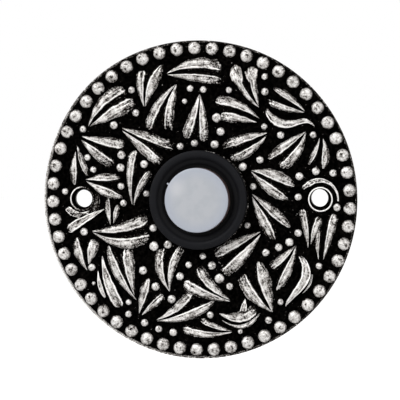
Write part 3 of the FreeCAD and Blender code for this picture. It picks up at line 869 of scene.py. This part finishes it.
def bead(target, x, z, radius, rise, seed, around, rings, polish):
    """Domed pearl standing on the field, slightly uneven, with a dimple."""
    bm = blank(around, rings)
    worn = layer(bm, "worn")
    ragged = layer(bm, "ragged")
    lie = bm.verts.layers.float_vector["lie"]
    dimple_x = 0.35 * math.sin(seed * 5.1)
    dimple_z = 0.35 * math.sin(seed * 3.7) - 0.1
    dimple_spread = 0.035
    for v in bm.verts:
        across, up, way = v.co
        tip = crowded(math.acos(max(-1.0, min(1.0, way))), math.pi)
        at_pole = abs(way) > 0.99999
        spread = 0.0 if at_pole else math.sin(tip) / max(1e-6, math.hypot(across, up))
        across, up, way = across * spread, up * spread, math.cos(tip)
        lumps = 1.0 + 0.07 * noise_at(across * 1.6 + seed, up * 1.6, way * 1.6 + seed * 2)
        away = (across - dimple_x) ** 2 + (up - dimple_z) ** 2
        dimple = math.exp(-away / dimple_spread)
        if way > 0:
            y = field_y - rise * (way ** 0.8 - 0.07 * dimple) * lumps
            # Top of the dome lighter, partly polish from wear and partly a painted highlight; the
            # dimple darker
            v[worn] = polish + 0.38 * min(1.0, way * 1.5) - 0.30 * dimple
        else:
            y = field_y - 0.35 * way
        v.co = (x + across * radius * lumps, y, z + up * radius * lumps)
        v[ragged] = bead_ragged
        v[lie] = (seed * 3.1 + across * 0.8, up * 0.8, way * 0.3)
    joined(target, bm)


def rim_wander(angle):
    """How far the hand-finished edge of the casting strays from its circle."""
    grown = 0.62 * bump_at(angle, 135, 26) + 0.2 * bump_at(angle, 185, 20)
    worn_away = 0.24 * bump_at(angle, -2, 48) + 0.14 * bump_at(angle, 84, 22)
    return grown - worn_away - 0.16 * bump_at(angle, 306, 26)


def pearl_wander(angle):
    """How far a pearl was set outwards and round the ring from its even place."""
    out = 0.55 * bump_at(angle, 122, 34) + 0.25 * bump_at(angle, 165, 22)
    out += 0.28 * bump_at(angle, -12, 20) - 0.12 * bump_at(angle, 30, 25)
    along = 0.4 * bump_at(angle, 200, 55) - 0.42 * bump_at(angle, -78, 26)
    return out, along - 0.15 * bump_at(angle, 20, 45)


def ring_centre(side):
    """Middle of a screw hole's ring and countersink."""
    return (side * screw_x, 0.0, right_ring_z if side > 0 else 0.0)


def hole_cutter(side):
    """Countersunk screw hole, as the body that it takes out, the right one's bore astray."""
    front_y = collar_y - 0.4
    bm = turned([
        (0.0, front_y), (sink_r + 0.14, front_y), (sink_r, collar_y),
        (screw_hole_r, sink_back_y), (screw_hole_r, 1.0), (0.0, 1.0),
    ], 64, ring_centre(side))
    if side > 0:
        bore = [v for v in bm.verts if v.co.y > sink_back_y - 0.01]
        bmesh.ops.translate(bm, vec=(bore_stray_x, 0.0, bore_stray_z), verts=bore)
    return bm


def collar(side):
    """Raised ring about a screw hole, the left one polished bright by wear only on its left."""
    ring = turned([
        (sink_r - 0.24, field_y + 0.4), (sink_r - 0.18, field_y),
        (sink_r - 0.14, collar_y + 0.12), (sink_r - 0.08, collar_y + 0.03),
        (sink_r + 0.05, collar_y), (sink_r + 0.18, collar_y + 0.04),
        (sink_r + 0.27, collar_y + 0.15), (sink_r + 0.36, field_y + 0.05),
        (sink_r + 0.36, field_y + 0.4),
    ], 64, ring_centre(side))
    worn = layer(ring, "worn")
    ragged = layer(ring, "ragged")
    for v in ring.verts:
        brighter_on_left = 0.95
        if side < 0:
            angle = math.degrees(math.atan2(v.co.z, v.co.x + screw_x))
            brighter_on_left = 0.42 + 0.53 * bump_at(angle, 165, 62)
            v[ragged] = 0.9 - brighter_on_left * 0.7
        v[worn] = brighter_on_left if v.co.y < collar_y + 0.07 else ground_polish
    return ring


def bezel_seat():
    """Low rough line of casting round the bezel's foot."""
    seat = turned([
        (bezel_foot_r + 0.02, field_y + 0.3), (bezel_foot_r + 0.05, field_y - 0.15),
        (bezel_foot_r + 0.18, field_y - 0.22), (bezel_foot_r + 0.34, field_y - 0.15),
        (bezel_foot_r + 0.5, field_y + 0.3),
    ])
    worn = layer(seat, "worn")
    ragged = layer(seat, "ragged")
    for v in seat.verts:
        v[worn] = 0.36 if v.co.y < field_y - 0.1 else ground_polish
        v[ragged] = 1.0
    return seat


def plate_disc():
    """Field, lip, bore and screw holes of the casting, with its wear and a painted sheen on the
    left of its rim.
    """
    disc = turned([
        (plate_bore_r, field_y), (lip_foot_r - 0.1, field_y), (lip_foot_r + 0.05, field_y - 0.06),
        (plate_r - 0.34, field_y - 0.42), (plate_r - 0.12, field_y - 0.5),
        (plate_r, field_y - 0.42), (plate_r - 0.02, field_y - 0.2),
        (plate_back_r + 0.05, -0.25), (plate_back_r - 0.15, 0.0), (clip_recess_r, 0.0),
        (clip_recess_r, clip_recess_y), (plate_bore_r, clip_recess_y),
    ], 256)
    for v in disc.verts:
        r = math.hypot(v.co.x, v.co.z)
        if r > plate_back_r - 1.0:
            grown = 1.0 + rim_wander(math.degrees(math.atan2(v.co.z, v.co.x))) / r
            v.co.x *= grown
            v.co.z *= grown
    bm = cut_out(disc, [hole_cutter(-1), hole_cutter(1)])
    worn = layer(bm, "worn")
    ragged = layer(bm, "ragged")
    back = layer(bm, "back")
    for v in bm.verts:
        r = math.hypot(v.co.x, v.co.z)
        angle = math.degrees(math.atan2(v.co.z, v.co.x))
        if r - rim_wander(angle) > lip_foot_r + 0.01 and v.co.y < -0.1:
            # Painted sheen: the rim's bare metal is painted lighter on its left, where the key
            # light catches it
            brighter_on_left = bump_at(angle, 205, 66)
            v[worn] = 0.36 + 0.40 * brighter_on_left
            v[ragged] = 0.7 - 0.3 * brighter_on_left
        if v.co.y > -0.3 and r > plate_bore_r + 0.5:
            v[back] = 1.0 if v.co.y > -0.1 or r < 30 else 0.0
        if r < clip_recess_r + 0.2 and v.co.y > -1.4:
            v[back] = 1.0
    return bm


def make_plate(finish):
    """The casting: disc, rings, leaves, pellets and pearl border."""
    bm = plate_disc()
    for part in (collar(-1), collar(1), bezel_seat()):
        joined(bm, part)
    for k, row in enumerate(BLADES):
        blade(bm, *row, seed=k + 1)
    hole_leaf(bm, screw_x, right_ring_z, RIGHT_HOLE_LEAF, 101, 0.0)
    hole_leaf(bm, -screw_x, 0.0, LEFT_HOLE_LEAF, 102, 0.5)
    for k, (x, z, r) in enumerate(PELLETS):
        x += relief_shift_x
        bead(bm, x, z, r * pellet_swell, pellet_rise, k * 1.7, 16, 10, pellet_polish)
    for k in range(bead_count):
        angle = bead_first_angle - 360.0 * k / bead_count
        out, along = pearl_wander(angle)
        a = math.radians(angle) + along / bead_ring_r
        x, z = (bead_ring_r + out) * math.cos(a), (bead_ring_r + out) * math.sin(a)
        bead(bm, x, z, bead_r * bead_swell, bead_rise, k * 2.3, 24, 13, bead_polish)
    bmesh.ops.recalc_face_normals(bm, faces=bm.faces)
    piece("plate", bm, finish, "plate_unit", ["face_plate"], 42)


def make_bezel(finish):
    """Rolled ring with a shallow groove and funnel, and the barrel behind it."""
    bm = turned([
        (barrel_bore_r, lip_back_y), (throat_r, lip_back_y), (throat_r, throat_y),
        (8.7, throat_y - 0.02), (8.86, throat_y - 0.08), (9.22, -6.36), (9.38, -6.42),
        (9.9, -6.44), (10.08, -6.5), (10.34, -6.76), (10.6, -6.98), (10.85, -7.08),
        (11.15, bezel_crest_y), (11.55, -7.08), (11.95, -7.02), (12.15, -6.94), (12.26, -6.8),
        (bezel_lip_r, -6.6), (12.24, -6.35), (12.1, -5.8), (bezel_foot_r + 0.05, field_y - 0.4),
        (bezel_foot_r, field_y), (barrel_r, field_y), (barrel_r, barrel_end_y - 0.25),
        (barrel_r - 0.2, barrel_end_y), (barrel_bore_r, barrel_end_y),
    ])
    shade = layer(bm, "shade")
    # Painted shade: darkest down the throat, about half as dark on the flat step of the groove
    for v in bm.verts:
        r = math.hypot(v.co.x, v.co.z)
        v[shade] = 1.0 if r < 9.0 else 0.55 if 9.3 < r < 10.2 else 0.0
    piece("bezel_moulding", bm, finish, "plate_unit", ["bezel"], 50)


def make_cap(finish):
    """Softly domed push cap with its skirt, flange, spring pocket, nib of flash and pegs."""
    bm = turned([
        (0.0, cap_face_y), (2.5, cap_face_y + 0.015), (5.0, cap_face_y + 0.06),
        (7.2, cap_face_y + 0.13), (7.72, cap_face_y + 0.17), (7.88, cap_face_y + 0.22),
        (7.97, cap_face_y + 0.31), (cap_r, cap_face_y + 0.42), (cap_r, cap_face_y + 0.5),
        (cap_r, lip_back_y), (cap_flange_r, lip_back_y), (cap_flange_r, cap_flange_back_y),
        (cap_pocket_r, cap_flange_back_y), (cap_pocket_r, cap_ceiling_y), (0.0, cap_ceiling_y),
    ], 128)
    shade = layer(bm, "shade")
    # The skirt takes painted shade where it stands down in the bezel's gap
    for v in bm.verts:
        on_skirt = v.co.y > cap_face_y + 0.45 and math.hypot(v.co.x, v.co.z) > cap_r - 0.1
        v[shade] = 1.0 if on_skirt else 0.0
    nib = blank(10, 8)
    bmesh.ops.scale(nib, vec=(0.42, 0.2, 0.24), verts=nib.verts)
    turn_about_push(nib, -nib_angle)
    a = math.radians(nib_angle)
    nib_place = (nib_ring_r * math.cos(a), cap_face_y + 0.42, nib_ring_r * math.sin(a))
    joined(bm, moved(nib, nib_place))
    low = (-peg_half, peg_back_y - peg_length, peg_ring_r - peg_half)
    high = (peg_half, peg_back_y, peg_ring_r + peg_half)
    for angle in (0, 120, 240):
        joined(bm, turn_about_push(block(low, high), angle))
    piece("push_cap_moulding", bm, finish, "push_cap", ["cap"], 50)


def make_spring(finish):
    """Round-wire coil between the cap and the base."""
    bm = new_bmesh()
    steps = int(spring_turns * spring_steps_per_turn)
    y0 = spring_front_y + spring_wire_r
    y1 = spring_back_y - spring_wire_r
    disc = bmesh.ops.create_circle(bm, cap_ends=True, radius=spring_wire_r, segments=12)["verts"]
    moved(bm, (spring_mean_r, y0, 0.0))
    bmesh.ops.spin(
        bm, geom=list(bm.faces) + disc + list(bm.edges), cent=PUSH_CENTRE, axis=PUSH_AXIS,
        dvec=(0.0, (y1 - y0) / steps, 0.0), angle=math.tau * spring_turns, steps=steps)
    bmesh.ops.remove_doubles(bm, verts=bm.verts, dist=merge_distance)
    bmesh.ops.recalc_face_normals(bm, faces=bm.faces)
    coil = piece("return_coil", bm, finish, "plate_unit", ["return_spring"], 50)
    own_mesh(coil)


def make_clip(finish):
    """Eight-sided spring clip with four notches, on the barrel behind the plate."""
    sheet = turned([
        (0.0, clip_recess_y), (clip_outer_r - 0.12, clip_recess_y),
        (clip_outer_r, clip_recess_y + 0.12), (clip_outer_r, clip_back_y - 0.12),
        (clip_outer_r - 0.15, clip_back_y), (0.0, clip_back_y),
    ], 8)
    turn_about_push(sheet, 22.5)
    front_y, back_y = -3.0, 1.0
    bore = [(0.0, front_y), (barrel_r, front_y), (barrel_r, back_y), (0.0, back_y)]
    cutters = [turned(bore, 120)]
    low = (0.0, front_y, -clip_notch_half)
    high = (clip_notch_end_r, back_y, clip_notch_half)
    cutters += [turn_about_push(block(low, high), 90 * k) for k in range(4)]
    bm = cut_out(sheet, cutters)
    shade = layer(bm, "shade")
    # Painted shade where the clip meets the barrel, lighter painted shade at the ends of the
    # notches
    for v in bm.verts:
        r = math.hypot(v.co.x, v.co.z)
        v[shade] = 0.75 if r < barrel_r + 0.1 else 0.3 if r < clip_notch_end_r + 0.1 else 0.0
    piece("spring_clip", bm, finish, "plate_unit", ["retaining_clip"], 30)


def terminal_screw():
    """Slotted six-sided terminal screw, standing on the push axis."""
    screw = turned([
        (0.0, screw_end_y), (screw_r, screw_end_y), (screw_r, washer_back_y),
        (head_r - 0.1, washer_back_y), (head_r, washer_back_y + 0.12), (head_r, head_y - 0.4),
        (head_r - 0.15, head_y - 0.12), (head_r - 0.45, head_y), (0.0, head_y),
    ], 6)
    turn_about_push(screw, 30)
    slot_y = head_y - head_slot_depth
    slot = block((-3.0, slot_y, -head_slot_half), (3.0, head_y + 1.0, head_slot_half))
    screw = cut_out(screw, [slot])
    shade = layer(screw, "shade")
    # Painted shade: black in the slot, dark where the head meets its washer, and the head's sides a
    # little darker than its top
    for v in screw.verts:
        if abs(v.co.z) < head_slot_half + 0.02 and v.co.y < slot_y + 0.02:
            v[shade] = 1.0
        elif v.co.y < washer_back_y + 0.05:
            v[shade] = 0.8
        else:
            v[shade] = 0.15 if v.co.y < head_y - 0.3 else 0.0
    return screw


def make_terminals(finish):
    """Both terminal screws on their square washers."""
    screws = new_bmesh()
    washers = new_bmesh()
    for x in (-terminal_x, terminal_x):
        joined(screws, moved(terminal_screw(), (x, 0.0, 0.0)))
        low = (x - washer_half, tab_back_y, -washer_half)
        high = (x + washer_half, washer_back_y, washer_half)
        joined(washers, block(low, high, 0.12))
    # The washers take the shade value evenly, as their own darker steel than the heads
    shade = layer(washers, "shade")
    for v in washers.verts:
        v[shade] = 0.45
    left_and_right = ["terminal_screw_left", "terminal_screw_right"]
    piece("terminal_screws", screws, finish, "plate_unit", left_and_right, 30)
    left_and_right = ["terminal_washer_left", "terminal_washer_right"]
    piece("terminal_washers", washers, finish, "plate_unit", left_and_right, 30)


def make_floor():
    """Pale floor under the object, which keeps its shadow."""
    bm = bmesh.new()
    bmesh.ops.create_grid(bm, x_segments=1, y_segments=1, size=3.0)
    moved(bm, (0, 0, floor_z))
    mesh = bpy.data.meshes.new("floor")
    bm.to_mesh(mesh)
    bm.free()
    floor = bpy.data.objects.new("floor", mesh)
    bpy.context.scene.collection.objects.link(floor)
    f = Finish("floor")
    path = f.node("ShaderNodeLightPath", {}, {}, "Is Camera Ray")
    diffuse = f.node("ShaderNodeBsdfDiffuse", {}, {"Color": rgba(0.82, 0.82, 0.82)}, "BSDF")
    white = {"Color": rgba(1, 1, 1), "Strength": floor_glow}
    glow = f.node("ShaderNodeEmission", {}, white, "Emission")
    both = f.node("ShaderNodeAddShader", {}, [diffuse, glow])
    f.output(f.node("ShaderNodeMixShader", {}, [path, diffuse, both]))
    mesh.materials.append(f.material)


def make_world():
    """White to the camera, in reflections and through glass, and softer as light."""
    world = bpy.data.worlds.new("studio")
    bpy.context.scene.world = world
    w = Graph(world)
    rays = [
        w.node("ShaderNodeLightPath", {}, {}, name)
        for name in ("Is Camera Ray", "Is Glossy Ray", "Is Transmission Ray")
    ]
    seen = rays[0].math("MAXIMUM", rays[1]).math("MAXIMUM", rays[2])
    levels = {"Value": seen, "To Min": world_light, "To Max": 1.0}
    strength = w.node("ShaderNodeMapRange", {}, levels)
    values = {"Color": rgba(1, 1, 1), "Strength": strength}
    background = w.node("ShaderNodeBackground", {}, values)
    w.node("ShaderNodeOutputWorld", {}, {"Surface": background})


def lamp(name, place, size, power):
    """Round soft lamp that looks at the object."""
    data = bpy.data.lights.new(name, "AREA")
    data.shape = "DISK"
    data.size = size
    data.energy = power
    made = bpy.data.objects.new(name, data)
    made.location = place
    made.rotation_mode = "QUATERNION"
    made.rotation_quaternion = (-Vector(place)).to_track_quat("-Z", "Y")
    bpy.context.scene.collection.objects.link(made)


def make_camera():
    """The photograph's view, a little from the right and above."""
    data = bpy.data.cameras.new("camera")
    data.sensor_width = 36.0
    data.lens = camera_lens
    data.clip_start = 0.05
    data.clip_end = 20.0
    cam = bpy.data.objects.new("camera", data)
    a, e = math.radians(camera_turn), math.radians(camera_rise)
    back = Vector((math.sin(a) * math.cos(e), -math.cos(a) * math.cos(e), math.sin(e)))
    right = Vector((math.cos(a), math.sin(a), 0.0))
    up = right.cross(-back)
    aim = Vector((0.0, camera_aim_y, 0.0)) + right * camera_aim_right + up * camera_aim_up
    cam.location = (aim + back * camera_distance) * MM
    cam.rotation_mode = "QUATERNION"
    cam.rotation_quaternion = (-back).to_track_quat("-Z", "Y")
    bpy.context.scene.collection.objects.link(cam)
    bpy.context.scene.camera = cam


spring_steel = make_metal("spring_steel", rgba(0.22, 0.22, 0.22), rgba(0.55, 0.55, 0.56), 0.25)
contact_brass = make_metal("contact_brass", rgba(0.36, 0.24, 0.09), rgba(0.72, 0.53, 0.24), 0.26)
screw_metal = make_metal("screw_metal", rgba(0.36, 0.34, 0.30), rgba(0.66, 0.63, 0.57), 0.24)

make_plate(make_antique_silver())
make_bezel(make_black_moulding())
make_cap(make_white_moulding())
make_spring(spring_steel)
make_clip(spring_steel)
make_terminals(screw_metal)

CARRIED_OVER = {
    "contact_ring": contact_brass,
    "terminal_base": make_phenolic(),
    "contact_strip_left": contact_brass,
    "contact_strip_right": contact_brass,
    "contact_tip_left": contact_brass,
    "contact_tip_right": contact_brass,
    "lamp": make_glass(),
    "lamp_ferrule": contact_brass,
    "lamp_lead_left": contact_brass,
    "lamp_lead_right": contact_brass,
}
for node_name, finish in CARRIED_OVER.items():
    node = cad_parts[node_name]
    node.data.materials.clear()
    node.data.materials.append(finish)

make_floor()
make_world()
for row in LAMPS:
    lamp(*row)
make_camera()
bpy.context.scene.view_settings.view_transform = "Standard"
